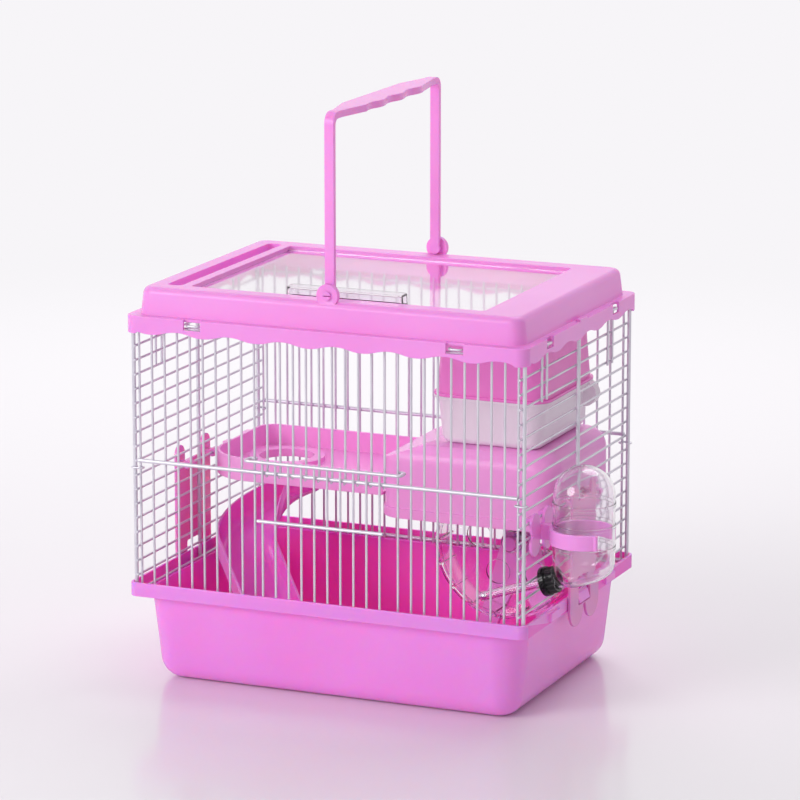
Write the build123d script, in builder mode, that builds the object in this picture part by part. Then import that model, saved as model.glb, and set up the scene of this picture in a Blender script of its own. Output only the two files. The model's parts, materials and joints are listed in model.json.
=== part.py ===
from build123d import *
import os
from math import cos, hypot, radians, sin, tan

os.makedirs("parts", exist_ok=True)

# Hamster cage, millimetres. Origin at the centre of the tub's underside, X right, Y back, Z up.

# Clearances
weld_gap = 0.05
seat_gap = 0.3
touch_gap = 0.2
running_gap = 0.06

# Wire stock
wire = 1.7
bar = 2.8
door_bar = 2.4
ring_wire = 1.4

# Base tub
rim_length = 300.0
rim_width = 216.0
rim_corner = 6.0
rim_top = 73.0
lip_height = 10.0
lip_wall = 2.0
ledge_drop = 7.0
ledge_thickness = 2.0
body_inset = 6.5
tub_corner = 24.0
tub_draft = 6.5
tub_wall = 2.2
tub_bottom_round = 16.0
lug_width = 20.0
lug_reach = 3.0
lug_drop = 1.0
lug_height = 7.0
pad_width = 18.0
pad_height = 6.0
pad_reach = 2.2
pad_spread = 54.0

# Wire panels
front_wires = 30
doorway_wires = 10
wires_before_hooks = 4
main_bar_z = 161.0
side_pitch = 10.3
side_first_rise = 5.1
wires_below_rings = 7

# Sliding front door
door_low_bar_drop = 33.5
door_top_bar_rise = 8.5
door_offset = -1.8
door_guide_reach = 4.6
door_bend = 2.5
door_bar_overhang = 2.4

# Top cover
cover_top = 265.0
cover_wall = 2.0
skirt_overhang = 1.0
skirt_corner = 8.0
skirt_wall = 1.8
skirt_depth = 12.5
hem_wave = 1.45
hem_margin = 10.0
hem_ramp = 3.0
hem_half_waves_front = 14
hem_half_waves_side = 10
end_ledge = 5.2
front_ledge = 6.5
crown_corner = 12.0
crown_height = 19.0
crown_draft = 7.5
crown_round = 5.0
notch_margin = 0.6
notch_height = 7.4
notch_depth = 3.0
side_hook_y = 64.0
side_hook_width = 9.2
side_hook_length = 40.0
hook_tip_drop = 4.3
nub_length = 14.0
nub_height = 1.6

# Hinged lid in the cover's window
lid_end_margin = 35.3
lid_front_margin = 20.0
lid_center_y = -1.5
lid_thickness = 2.0
lid_gap = 0.5
lid_corner = 3.0
window_wall = 2.0
window_depth = 7.0
rebate_width = 4.0
rebate_thickness = 2.0
trunnion_radius = 1.5
trunnion_inset = 3.0
pull_width = 88.0
pull_depth = 13.0
pull_height = 7.5
pull_wall = 1.5
pull_x = 4.0
pull_inset = 2.5

# Carrying handle
pivot_rise = 4.3
leg_width = 7.0
leg_thickness = 3.7
leg_inset = 9.5
handle_corner = 8.0
grip_thickness = 5.0
grip_half_width = 10.0
grip_half_length = 50.0
grip_ramp = 30.0
finger_wave = 1.3
finger_half_waves = 6
eye_radius = 4.0
pin_radius = 2.5
pin_head = 3.2
pin_head_length = 1.2
pin_slot = 0.8
ear_radius = 8.0
ear_thickness = 4.0
groove_width = 11.0
groove_depth = 6.6
groove_length = 170.0
groove_wall = 1.6
groove_margin = 3.9

# Side latches
latch_width = 56.0
latch_thickness = 2.0
latch_drop = 23.0
wires_below_latch = 6
latch_eye_spread = 21.0
latch_eye_radius = 3.2
latch_eye_width = 8.0
latch_ear_height = 13.0
latch_ear_width = 14.0
latch_lobe = 13.0
latch_window_width = 23.0
latch_window_below = 1.0
latch_window_above = 8.0

# Left tray
tray_left_gap = 0.6
tray_right = 2.0
tray_width = 110.25
tray_hang = 11.9
tray_height = 17.0
tray_wall = 2.0
tray_front_corner = 36.0
tray_back_corner = 14.0
tray_back_gap = 0.6
hole_from_left = 39.05
hole_from_back = 46.25
hole_radius = 20.0
collar_radius = 28.0
collar_height = 4.0
hook_tab_width = 10.0
hook_tab_thickness = 2.0
hook_tab_drop = 5.0
tray_hooks_from_back = (22.25, 54.25)

# Spiral slide under the tray
slide_right_of_hole = 13.0
slide_before_hole = 36.0
slide_inner = 5.0
slide_outer = 48.0
slide_wall = 1.8
slide_wall_height = 20.0
slide_turn = 148.0
slide_exit_angle = 225.0
slide_run = 92.0
slide_run_drop = 58.0
slide_trough_round = 8.0

# Right roof platform
roof_side_gap = 6.85
roof_back_gap = 1.85
roof_width = 117.0
roof_height = 55.0
roof_hook_drop = 40.4
roof_wall = 2.0
roof_corner = 18.0
roof_round = 15.0
roof_band = 7.0
roof_band_reach = 1.2
roof_ramp_run = 36.0
roof_ramp_drop = 14.0
wires_below_roof_hooks = 5
roof_hooks_from_back = (39.0, 61.0)

# Bowl and hood on the roof
bowl_from_right = 54.0
bowl_from_back = 58.0
bowl_length = 88.0
bowl_width = 110.0
bowl_height = 34.5
bowl_corner = 16.0
bowl_draft = 6.0
bowl_wall = 1.8
bowl_bottom_round = 6.0
bowl_flange = 3.0
bowl_flange_thickness = 2.0
bowl_knob_radius = 9.0
bowl_knob_width = 9.0
bowl_knob_offset = 36.0
hood_head_room = 15.0
hood_draft = 5.0
hood_wall = 1.8
hood_round = 9.0
hood_corner = 14.0
hood_lip = 2.0
hood_door_width = 40.0
hood_door_top = 13.0

# Running wheel and its stand
wheel_from_right = 56.0
wheel_rise = 86.8
wheel_from_back = 71.0
wheel_depth = 28.0
wheel_radius = 53.0
wheel_wall = 2.0
wheel_lip = 4.0
hub_radius = 8.0
hub_depth = 14.0
wheel_windows = 6
wheel_window_radius = 9.0
wheel_window_circle = 30.0
wheel_treads = 18
tread_height = 1.2
tread_width = 1.6
axle_radius = 2.5
axle_head_radius = 5.0
axle_head_length = 2.0
stand_gap = 2.0
stand_thickness = 6.0
stand_top_radius = 12.0
stand_foot_spread = 30.0
stand_foot_radius = 6.0
stand_leg = 9.0
foot_length = 76.0
foot_width = 26.0
foot_thickness = 3.0
axle_cap_radius = 5.5
axle_cap_length = 5.0
axle_cap_wall = 1.2

# Water bottle and its clip
bottle_from_front = 32.85
bottle_radius = 21.3
bottle_base_margin = 0.4
bottle_height = 90.0
bottle_wall = 1.2
bottle_base_round = 12.0
bottle_rib = 0.5
bottle_rib_width = 2.4
bottle_rib_gap = 1.1
upper_ribs = 2
spout_tilt = 18.5
wires_below_spout = 2
neck_radius = 7.0
neck_wall = 1.5
cap_side_wall = 1.7
cap_length = 10.0
cap_start = 4.7
cap_wall = 1.6
cap_collar_length = 4.0
cap_collar_reach = 1.4
cap_ribs = 20
cap_rib_radius = 0.5
cap_clearance = 1.07
washer_thickness = 2.0
washer_bore = 3.0
tube_radius = 3.5
tube_bore = 2.3
tube_length = 50.0
tube_head_radius = 6.0
tube_head_length = 1.6
tube_tip_bore = 1.9
tube_tip_length = 0.8
ball_radius = 2.2
clip_hang = 9.1
clip_height = 10.4
clip_wall = 2.2
clip_opening = 100.0
clip_bead = 1.6
clip_stem_width = 6.0
clip_plate_thickness = 2.0
clip_wing_radius = 8.0
clip_wing_spread = 12.0
clip_wing_rise = 7.0
wires_below_clip = 6

# Heights and planes that follow from the sizes above
ledge_top = rim_top - ledge_drop
half_rim_x = rim_length / 2
half_rim_y = rim_width / 2
front_bar_y = half_rim_y - lip_wall - seat_gap - bar / 2
front_wire_y = front_bar_y - bar / 2 - weld_gap - wire / 2
side_bar_x = half_rim_x - lip_wall - seat_gap - bar / 2
side_wire_x = side_bar_x - bar / 2 - weld_gap - wire / 2
front_half_span = side_wire_x - wire - seat_gap
front_pitch = 2 * front_half_span / (front_wires - 1)
front_xs = [-front_half_span + front_pitch * i for i in range(front_wires)]
front_bar_length = 2 * (side_wire_x - wire / 2 - seat_gap)
side_wire_length = 2 * (front_bar_y + bar / 2 - seat_gap)
wire_top = cover_top - cover_wall
hook_tip_z = cover_top - hook_tip_drop
top_wire_z = hook_tip_z - wire - weld_gap - seat_gap - wire / 2
side_first_z = rim_top + side_first_rise
side_wires = int((top_wire_z - side_first_z) / side_pitch) + 1
side_zs = [side_first_z + side_pitch * i for i in range(side_wires)]
hook_pairs = (wires_before_hooks, front_wires - 2 - wires_before_hooks)
hook_wires = [i + j for i in hook_pairs for j in (0, 1)]
doorway_first = (front_wires - doorway_wires) // 2
doorway = range(doorway_first, doorway_first + doorway_wires)
tub_floor = tub_wall
lug_high = rim_top - lug_drop
lug_low = lug_high - lug_height
pivot_wire_z = side_zs[wires_below_latch]
crown_top = cover_top + crown_height
skirt_length = rim_length
skirt_width = rim_width + 2 * skirt_overhang
crown_length = skirt_length - 2 * end_ledge
crown_width = skirt_width - 2 * front_ledge
lid_length = crown_length - 2 * lid_end_margin
lid_width = crown_width - 2 * lid_front_margin
pivot_z = crown_top + pivot_rise
leg_y = crown_width / 2 - leg_inset
door_low_bar_z = main_bar_z - door_low_bar_drop
door_top_bar_z = main_bar_z + door_top_bar_rise


def upright_wires(spots, low, high, thickness):
    """Straight upright wires at the given (x, y) spots."""
    with Locations(*[(x, y, low) for x, y in spots]):
        Cylinder(thickness / 2, high - low, align=(Align.CENTER, Align.CENTER, Align.MIN))


def level_wires(spots, length, thickness, turn):
    """Straight level wires, centred on the given points."""
    with Locations(*spots):
        Cylinder(thickness / 2, length, rotation=turn)


def bent_wire(points, bend, thickness):
    """One wire bent through the given points."""
    with BuildLine() as route:
        FilletPolyline(*points, radius=bend)
    with BuildSketch(Plane(origin=route.line @ 0, z_dir=route.line % 0)) as section:
        Circle(thickness / 2)
    sweep(section.sketch, path=route.line)


def drafted_block(length, width, corner, base_z, height, draft, edge_round):
    """A rounded block drawn at base_z, drafted inwards over its height, with its far edges rounded."""
    with BuildPart() as block:
        with BuildSketch(Plane.XY.offset(base_z)):
            RectangleRounded(length, width, corner)
        extrude(amount=height, taper=draft)
        far_face = block.faces().sort_by(Axis.Z)[-1 if height > 0 else 0]
        fillet(far_face.edges(), edge_round)
    return block.part


along_x = (0, 90, 0)
along_y = (90, 0, 0)

# Base tub: drafted shell with a rolled rim, a ledge for the wires, latch lugs and rim pads
tub_length = rim_length - 2 * body_inset
tub_width = rim_width - 2 * body_inset
tub_body = drafted_block(tub_length, tub_width, tub_corner, ledge_top, -ledge_top, tub_draft, tub_bottom_round)
tub_hollow = drafted_block(
    tub_length - 2 * tub_wall,
    tub_width - 2 * tub_wall,
    tub_corner - tub_wall,
    ledge_top,
    tub_floor - ledge_top,
    tub_draft,
    tub_bottom_round - tub_wall,
)
with BuildPart() as base_tub:
    add(tub_body)
    add(tub_hollow, mode=Mode.SUBTRACT)
    with BuildSketch(Plane.XY.offset(ledge_top - ledge_thickness)):
        RectangleRounded(rim_length, rim_width, rim_corner)
        RectangleRounded(tub_length - tub_wall, tub_width - tub_wall, tub_corner - tub_wall / 2, mode=Mode.SUBTRACT)
    extrude(amount=ledge_thickness)
    with BuildSketch(Plane.XY.offset(rim_top - lip_height)):
        RectangleRounded(rim_length, rim_width, rim_corner)
        RectangleRounded(
            rim_length - 2 * lip_wall, rim_width - 2 * lip_wall, rim_corner - lip_wall, mode=Mode.SUBTRACT
        )
    extrude(amount=lip_height)
    with BuildSketch(Plane.XZ):
        with BuildLine():
            Polyline(
                (half_rim_x - lip_wall / 2, lug_low),
                (half_rim_x + lug_reach, lug_low),
                (half_rim_x + lug_reach / 3, lug_high),
                (half_rim_x - lip_wall / 2, lug_high),
                close=True,
            )
        make_face()
        mirror(about=Plane.YZ)
    extrude(amount=lug_width / 2, both=True)
    pad_x = half_rim_x + pad_reach / 2 - lip_wall / 4
    pad_z = rim_top - lip_height / 2
    with Locations(*[(s * pad_x, t * pad_spread, pad_z) for s in (-1, 1) for t in (-1, 1)]):
        Box(pad_reach + lip_wall / 2, pad_width, pad_height)
base_tub.part.label = "base_tub"
export_step(base_tub.part, "parts/base_tub.step")

# Front panel: upright wires on a main bar, with a doorway whose upper wires hook under that bar
with BuildPart() as front_panel:
    full = [(front_xs[i], -front_wire_y) for i in range(front_wires) if i not in doorway and i not in hook_wires]
    upper = [(front_xs[i], -front_wire_y) for i in doorway]
    upright_wires(full, ledge_top, wire_top, wire)
    upright_wires(upper, main_bar_z, wire_top, wire)
    with BuildSketch(Plane.XY.offset(main_bar_z)):
        with Locations(*upper):
            Circle(wire / 2)
    revolve(axis=Axis((0, -front_bar_y, main_bar_z), (-1, 0, 0)), revolution_arc=90)
    bar_zs = (ledge_top + bar / 2, main_bar_z)
    level_wires([(0, -front_bar_y, z) for z in bar_zs], front_bar_length, bar, along_x)
    top_wire_y = front_wire_y + wire + weld_gap
    level_wires([(0, -top_wire_y, top_wire_z)], front_bar_length, wire, along_x)
front_panel.part.label = "front_panel"
export_step(front_panel.part, "parts/front_panel.step")

# Back panel: upright wires on cross bars
with BuildPart() as back_panel:
    full = [(front_xs[i], front_wire_y) for i in range(front_wires) if i not in hook_wires]
    upright_wires(full, ledge_top, wire_top, wire)
    level_wires([(0, front_bar_y, z) for z in bar_zs], front_bar_length, bar, along_x)
    level_wires([(0, top_wire_y, top_wire_z)], front_bar_length, wire, along_x)
back_panel.part.label = "back_panel"
export_step(back_panel.part, "parts/back_panel.step")

# Side panels: level wires welded to three upright bars
for side, side_name in ((-1, "left_panel"), (1, "right_panel")):
    with BuildPart() as side_panel:
        level_zs = [ledge_top + wire / 2] + side_zs
        level_wires([(side * side_wire_x, 0, z) for z in level_zs], side_wire_length, wire, along_y)
        bar_spots = [(side * side_bar_x, y) for y in (-front_wire_y, 0, front_wire_y)]
        upright_wires(bar_spots, ledge_top, wire_top, bar)
    side_panel.part.label = side_name
    export_step(side_panel.part, f"parts/{side_name}.step")

# Corner rings: open wire rings round the last uprights of two neighbouring panels
ring_z = side_zs[wires_below_rings] + side_pitch / 2
ring_radius = bar / 2 + weld_gap + ring_wire / 2
with BuildPart() as corner_rings:
    for side in (-1, 1):
        for face in (-1, 1):
            inner = (side * front_half_span, face * front_wire_y, ring_z)
            outer = (side * side_bar_x, face * front_wire_y, ring_z)
            middle = (inner[0] + outer[0]) / 2
            near = face * (front_wire_y + ring_radius)
            far = face * (front_wire_y - ring_radius)
            with BuildLine() as loop:
                run_in = Line((middle - side * ring_wire, far, ring_z), (inner[0], far, ring_z))
                turn_in = ThreePointArc(
                    run_in @ 1, (inner[0] - side * ring_radius, inner[1], ring_z), (inner[0], near, ring_z)
                )
                run_out = Line(turn_in @ 1, (outer[0], near, ring_z))
                turn_out = ThreePointArc(
                    run_out @ 1, (outer[0] + side * ring_radius, outer[1], ring_z), (outer[0], far, ring_z)
                )
                Line(turn_out @ 1, (middle + side * ring_wire, far, ring_z))
            with BuildSketch(Plane(origin=loop.line @ 0, z_dir=loop.line % 0)):
                Circle(ring_wire / 2)
            sweep(path=loop.line)
corner_rings.part.label = "corner_rings"
export_step(corner_rings.part, "parts/corner_rings.step")

# Cover hooks: hairpin wires whose bent tips lie in the notches of the cover's skirt
front_tip_y = skirt_width / 2 - wire / 2
side_tip_x = skirt_length / 2 - wire / 2
side_hook_x = side_wire_x + wire + weld_gap
side_hook_bend = (side_tip_x - side_hook_x) / 2 - weld_gap
with BuildPart() as cover_hooks:
    for face in (-1, 1):
        for first in hook_pairs:
            left, right = front_xs[first], front_xs[first + 1]
            bent_wire(
                [
                    (left, face * front_wire_y, ledge_top),
                    (left, face * front_wire_y, hook_tip_z),
                    (left, face * front_tip_y, hook_tip_z),
                    (right, face * front_tip_y, hook_tip_z),
                    (right, face * front_wire_y, hook_tip_z),
                    (right, face * front_wire_y, ledge_top),
                ],
                door_bend,
                wire,
            )
    for side in (-1, 1):
        for middle in (-side_hook_y, side_hook_y):
            near, far = middle - side_hook_width / 2, middle + side_hook_width / 2
            low = hook_tip_z - side_hook_length
            bent_wire(
                [
                    (side * side_hook_x, near, low),
                    (side * side_hook_x, near, hook_tip_z),
                    (side * side_tip_x, near, hook_tip_z),
                    (side * side_tip_x, far, hook_tip_z),
                    (side * side_hook_x, far, hook_tip_z),
                    (side * side_hook_x, far, low),
                ],
                side_hook_bend,
                wire,
            )
cover_hooks.part.label = "cover_hooks"
export_step(cover_hooks.part, "parts/cover_hooks.step")

# Front door: wires that slide up in front of the main bar, with guide hooks round two panel wires
door_wire_y = front_bar_y + bar / 2 + seat_gap + wire / 2
door_bar_y = door_wire_y + wire / 2 + weld_gap + door_bar / 2
guide_y = front_wire_y - wire / 2 - seat_gap - door_bar / 2
door_xs = [front_xs[i] + door_offset for i in doorway]
guide_left = front_xs[doorway_first - 1]
guide_right = front_xs[doorway_first + doorway_wires]
with BuildPart() as front_door:
    door_top = door_top_bar_z + door_bar / 2
    upright_wires([(x, -door_wire_y) for x in door_xs], rim_top + seat_gap, door_top, wire)
    low_bar_length = door_xs[-1] - door_xs[0] + wire + 2 * door_bar_overhang
    low_bar_middle = (door_xs[0] + door_xs[-1]) / 2
    level_wires([(low_bar_middle, -door_bar_y, door_low_bar_z)], low_bar_length, door_bar, along_x)
    bent_wire(
        [
            (guide_left + wire / 2, -guide_y, door_top_bar_z),
            (guide_left - door_guide_reach, -guide_y, door_top_bar_z),
            (guide_left - door_guide_reach, -door_bar_y, door_top_bar_z),
            (guide_right + door_guide_reach, -door_bar_y, door_top_bar_z),
            (guide_right + door_guide_reach, -guide_y, door_top_bar_z),
            (guide_right - wire / 2, -guide_y, door_top_bar_z),
        ],
        door_bend,
        door_bar,
    )
front_door.part.label = "front_door"
export_step(front_door.part, "parts/front_door.step")

# Top cover: crowned shell with a ledge, a wavy skirt, a lid window, a handle groove and handle ears
hem_z = cover_top - skirt_depth
hem_middle = hem_z + hem_wave
window_length = lid_length + 2 * lid_gap
window_width = lid_width + 2 * lid_gap
window_low = crown_top - window_depth
lid_back = lid_center_y + lid_width / 2
lid_hinge_y = lid_back - trunnion_inset
lid_low = window_low + rebate_thickness + touch_gap
lid_hinge_z = lid_low + lid_thickness / 2
groove_x = -(window_length / 2 + window_wall + groove_margin + groove_wall + groove_width / 2)
handle_top = pivot_z - groove_x + grip_thickness / 2
ear_inner = leg_y + leg_thickness / 2 + seat_gap


def wavy_hem(half_length, half_waves, plane, depth):
    """Cuts the skirt's hem to a row of shallow arcs along both opposite sides."""
    step = 2 * half_length / half_waves
    with BuildSketch(plane) as below_hem:
        with BuildLine():
            for i in range(half_waves):
                start = -half_length + i * step
                bulge = hem_wave if i % 2 else -hem_wave
                SagittaArc((start, hem_middle), (start + step, hem_middle), bulge)
            Polyline(
                (half_length, hem_middle),
                (half_length + hem_ramp, hem_z - hem_wave),
                (-half_length - hem_ramp, hem_z - hem_wave),
                (-half_length, hem_middle),
            )
        make_face()
    extrude(below_hem.sketch, amount=depth, both=True, mode=Mode.SUBTRACT)


crown_body = drafted_block(
    crown_length, crown_width, crown_corner, cover_top - cover_wall, crown_height + cover_wall, crown_draft, crown_round
)
crown_hollow = drafted_block(
    crown_length - 2 * cover_wall,
    crown_width - 2 * cover_wall,
    crown_corner - cover_wall,
    cover_top - cover_wall,
    crown_height,
    crown_draft,
    crown_round - cover_wall,
)
with BuildPart() as top_cover:
    add(crown_body)
    add(crown_hollow, mode=Mode.SUBTRACT)
    with BuildSketch(Plane.XY.offset(cover_top - cover_wall)):
        RectangleRounded(skirt_length, skirt_width, skirt_corner)
        RectangleRounded(crown_length - cover_wall, crown_width - cover_wall, crown_corner, mode=Mode.SUBTRACT)
    extrude(amount=cover_wall)
    with BuildSketch(Plane.XY.offset(hem_z)):
        RectangleRounded(skirt_length, skirt_width, skirt_corner)
        RectangleRounded(
            skirt_length - 2 * skirt_wall, skirt_width - 2 * skirt_wall, skirt_corner - skirt_wall, mode=Mode.SUBTRACT
        )
    extrude(amount=skirt_depth)
    # Wall round the lid window, with a rebate that carries the lid on three sides
    with BuildSketch(Plane.XY.offset(window_low)):
        with Locations((0, lid_center_y)):
            RectangleRounded(window_length + 2 * window_wall, window_width + 2 * window_wall, lid_corner + window_wall)
    extrude(amount=window_depth - cover_wall / 2)
    with BuildSketch(Plane.XY.offset(window_low + rebate_thickness)):
        with Locations((0, lid_center_y)):
            RectangleRounded(window_length, window_width, lid_corner)
    extrude(amount=window_depth, mode=Mode.SUBTRACT)
    with BuildSketch(Plane.XY.offset(window_low)):
        with Locations((0, lid_center_y + rebate_width)):
            Rectangle(window_length - 2 * rebate_width, window_width)
        with Locations((0, lid_hinge_y)):
            Rectangle(window_length, 4 * trunnion_inset)
        with Locations((0, lid_center_y)):
            RectangleRounded(window_length, window_width, lid_corner, mode=Mode.INTERSECT)
    extrude(amount=window_depth, mode=Mode.SUBTRACT)
    with Locations((0, lid_hinge_y, lid_hinge_z)):
        Cylinder(
            trunnion_radius + running_gap, window_length + 4 * window_wall, rotation=along_x, mode=Mode.SUBTRACT
        )
    # Groove that takes the folded grip
    with Locations((groove_x, 0, crown_top - cover_wall / 2)):
        Box(
            groove_width + 2 * groove_wall,
            groove_length + 2 * groove_wall,
            groove_depth + groove_wall - cover_wall / 2,
            align=(Align.CENTER, Align.CENTER, Align.MAX),
        )
    with BuildSketch(Plane.XY.offset(crown_top)):
        with Locations((groove_x, 0)):
            RectangleRounded(groove_width, groove_length, groove_width / 3)
    extrude(amount=-groove_depth, mode=Mode.SUBTRACT)
    # Ears for the handle's pins
    for face in (-1, 1):
        with Locations((0, face * (ear_inner + ear_thickness / 2), pivot_z)):
            Cylinder(ear_radius, ear_thickness, rotation=along_y)
            Cylinder(pin_radius + running_gap, 2 * ear_thickness, rotation=along_y, mode=Mode.SUBTRACT)
    # Hem, hook notches and the grip nubs of the skirt
    wavy_hem(skirt_length / 2 - hem_margin, hem_half_waves_front, Plane.XZ, skirt_width)
    wavy_hem(skirt_width / 2 - hem_margin, hem_half_waves_side, Plane.YZ, skirt_length)
    for first in hook_pairs:
        notch_x = (front_xs[first] + front_xs[first + 1]) / 2
        with Locations(*[(notch_x, s * skirt_width / 2, cover_top) for s in (-1, 1)]):
            Box(
                front_pitch + wire + 2 * notch_margin,
                2 * notch_depth,
                2 * notch_height,
                mode=Mode.SUBTRACT,
            )
    with Locations(*[(s * skirt_length / 2, t * side_hook_y, cover_top) for s in (-1, 1) for t in (-1, 1)]):
        Box(
            2 * notch_depth,
            side_hook_width + wire + 2 * notch_margin,
            2 * notch_height,
            mode=Mode.SUBTRACT,
        )
    with Locations(*[(s * (skirt_length / 2 - skirt_wall), 0, cover_top) for s in (-1, 1)]):
        Box(2 * skirt_wall, nub_length, 2 * nub_height)
top_cover.part.label = "top_cover"
export_step(top_cover.part, "parts/top_cover.step")

# Lid: clear plate with a hollow finger pull and two trunnions
with BuildPart() as lid:
    with BuildSketch(Plane.XY.offset(lid_low)):
        with Locations((0, lid_center_y)):
            RectangleRounded(lid_length, lid_width, lid_corner - lid_gap)
    extrude(amount=lid_thickness)
    pull_y = lid_center_y - lid_width / 2 + pull_inset + pull_depth / 2
    with BuildSketch(Plane.XY.offset(lid_low)):
        with Locations((pull_x, pull_y)):
            RectangleRounded(pull_width, pull_depth, pull_depth / 4)
    extrude(amount=lid_thickness + pull_height, taper=3)
    with BuildSketch(Plane.XY.offset(lid_low)):
        with Locations((pull_x, pull_y)):
            RectangleRounded(pull_width - 2 * pull_wall, pull_depth - 2 * pull_wall, pull_depth / 4 - pull_wall)
    extrude(amount=lid_thickness + pull_height - pull_wall, taper=3, mode=Mode.SUBTRACT)
    trunnion_tip = window_length / 2 + window_wall - seat_gap
    trunnion_root = lid_length / 2 - 2 * trunnion_radius
    with Locations(*[(s * (trunnion_root + trunnion_tip) / 2, lid_hinge_y, lid_hinge_z) for s in (-1, 1)]):
        Cylinder(trunnion_radius, trunnion_tip - trunnion_root, rotation=along_x)
lid.part.label = "lid"
export_step(lid.part, "parts/lid.step")

# Handle: bail with rounded corners, a widened grip with a finger wave, and split snap pins
leg_outer = leg_y + leg_thickness / 2
leg_inner = leg_y - leg_thickness / 2
with BuildPart() as handle:
    with BuildSketch(Plane.YZ):
        with BuildLine():
            FilletPolyline(
                (-leg_outer, pivot_z), (-leg_outer, handle_top), (leg_outer, handle_top), (leg_outer, pivot_z),
                radius=handle_corner,
            )
            Line((leg_outer, pivot_z), (leg_inner, pivot_z))
            FilletPolyline(
                (leg_inner, pivot_z), (leg_inner, handle_top - grip_thickness),
                (-leg_inner, handle_top - grip_thickness), (-leg_inner, pivot_z),
                radius=handle_corner - leg_thickness,
            )
            Line((-leg_inner, pivot_z), (-leg_outer, pivot_z))
        make_face()
    extrude(amount=leg_width / 2, both=True)
    finger_step = 2 * grip_half_length / finger_half_waves
    with BuildSketch(Plane.XY.offset(handle_top - grip_thickness)):
        with BuildLine():
            for i in range(finger_half_waves):
                start = -grip_half_length + i * finger_step
                bulge = -finger_wave if i % 2 else finger_wave
                SagittaArc(
                    (grip_half_width - finger_wave, start), (grip_half_width - finger_wave, start + finger_step), bulge
                )
            Polyline(
                (grip_half_width - finger_wave, grip_half_length),
                (leg_width / 2, grip_half_length + grip_ramp),
                (-leg_width / 2, grip_half_length + grip_ramp),
                (-grip_half_width, grip_half_length),
                (-grip_half_width, -grip_half_length),
                (-leg_width / 2, -grip_half_length - grip_ramp),
                (leg_width / 2, -grip_half_length - grip_ramp),
                (grip_half_width - finger_wave, -grip_half_length),
            )
        make_face()
    extrude(amount=grip_thickness)
    for face in (-1, 1):
        with Locations((0, face * leg_y, pivot_z)):
            Cylinder(eye_radius, leg_thickness, rotation=along_y)
        ear_outer = ear_inner + ear_thickness
        head_y = ear_outer + seat_gap + pin_head_length / 2
        with Locations((0, face * (leg_y + ear_outer + seat_gap) / 2, pivot_z)):
            Cylinder(pin_radius, ear_outer + seat_gap - leg_y, rotation=along_y)
        with Locations((0, face * head_y, pivot_z)):
            Cylinder(pin_head, pin_head_length, rotation=along_y)
            Box(2 * pin_head, ear_thickness, pin_slot, mode=Mode.SUBTRACT)
handle.part.label = "handle"
export_step(handle.part, "parts/handle.step")

# Side latches: scalloped plates that swing on a level wire and snap over the rim lugs
latch_inner = half_rim_x + seat_gap + touch_gap
latch_low = rim_top - latch_drop
for side, side_name in ((-1, "left_latch"), (1, "right_latch")):
    with BuildPart() as latch:
        with BuildSketch(Plane.YZ.offset(side * latch_inner)):
            plate_low = latch_low + latch_lobe
            with Locations((0, (plate_low + pivot_wire_z) / 2)):
                Rectangle(latch_width, pivot_wire_z - plate_low)
            for s in (-1, 1):
                with Locations((s * (latch_width / 2 - latch_lobe), plate_low)):
                    Circle(latch_lobe)
                with Locations((s * (latch_width - latch_ear_width) / 2, pivot_wire_z)):
                    SlotOverall(2 * latch_ear_height, latch_ear_width, rotation=90)
            window_height = lug_height + latch_window_below + latch_window_above
            with Locations((0, lug_low - latch_window_below + window_height / 2)):
                RectangleRounded(latch_window_width, window_height, lug_reach / 2, mode=Mode.SUBTRACT)
        extrude(amount=side * latch_thickness)
        arm = latch_inner + latch_thickness / 2 - side_wire_x
        for y in (-latch_eye_spread, latch_eye_spread):
            with Locations((side * (side_wire_x + arm / 2), y, pivot_wire_z)):
                Box(arm, latch_eye_width, 2 * (wire + weld_gap))
            with Locations((side * side_wire_x, y, pivot_wire_z)):
                Cylinder(latch_eye_radius, latch_eye_width, rotation=along_y)
                Cylinder(wire / 2 + running_gap, 2 * latch_eye_width, rotation=along_y, mode=Mode.SUBTRACT)
    latch.part.label = side_name
    export_step(latch.part, f"parts/{side_name}.step")

# Tray: left platform with an open right end, a collar round the slide hole and wire hooks
tray_left = -(side_wire_x - latch_eye_radius - tray_left_gap)
tray_back = front_wire_y - wire / 2 - tray_back_gap
tray_front = tray_back - tray_width
tray_bottom = pivot_wire_z - tray_hang
hole_x = tray_left + hole_from_left
hole_y = tray_back - hole_from_back
tray_floor = tray_bottom + tray_wall


def wire_hook(side, edge, reach, y, wire_z):
    """A moulded tab that rests on a level side wire and turns down past it, outwards for reach 1, inwards for -1."""
    lip_x = side_wire_x + reach * (wire / 2 + touch_gap + hook_tab_thickness / 2)
    tip = lip_x + reach * hook_tab_thickness / 2
    low = wire_z + wire / 2 + weld_gap
    with Locations((side * (edge + tip) / 2, y, low)):
        Box(
            abs(tip - edge), hook_tab_width, hook_tab_thickness,
            align=(Align.CENTER, Align.CENTER, Align.MIN),
        )
    with Locations((side * lip_x, y, low + hook_tab_thickness)):
        Box(
            hook_tab_thickness, hook_tab_width, hook_tab_drop,
            align=(Align.CENTER, Align.CENTER, Align.MAX),
        )


def tray_plan(inset, z):
    """The tray's plan at height z, straight to the right, drawn at the given inset from its outer edge."""
    left = tray_left + inset
    front = tray_front + inset
    back = tray_back - inset
    corner_front = tray_front_corner - inset
    corner_back = tray_back_corner - inset
    with BuildSketch(Plane.XY.offset(z)) as plan:
        with BuildLine():
            edge = Line((tray_right, front), (left + corner_front, front))
            bend = JernArc(edge @ 1, edge % 1, corner_front, -90)
            rise = Line(bend @ 1, (left, back - corner_back))
            turn = JernArc(rise @ 1, rise % 1, corner_back, -90)
            Polyline(turn @ 1, (tray_right, back), (tray_right, front))
        make_face()
    return plan.sketch


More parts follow.
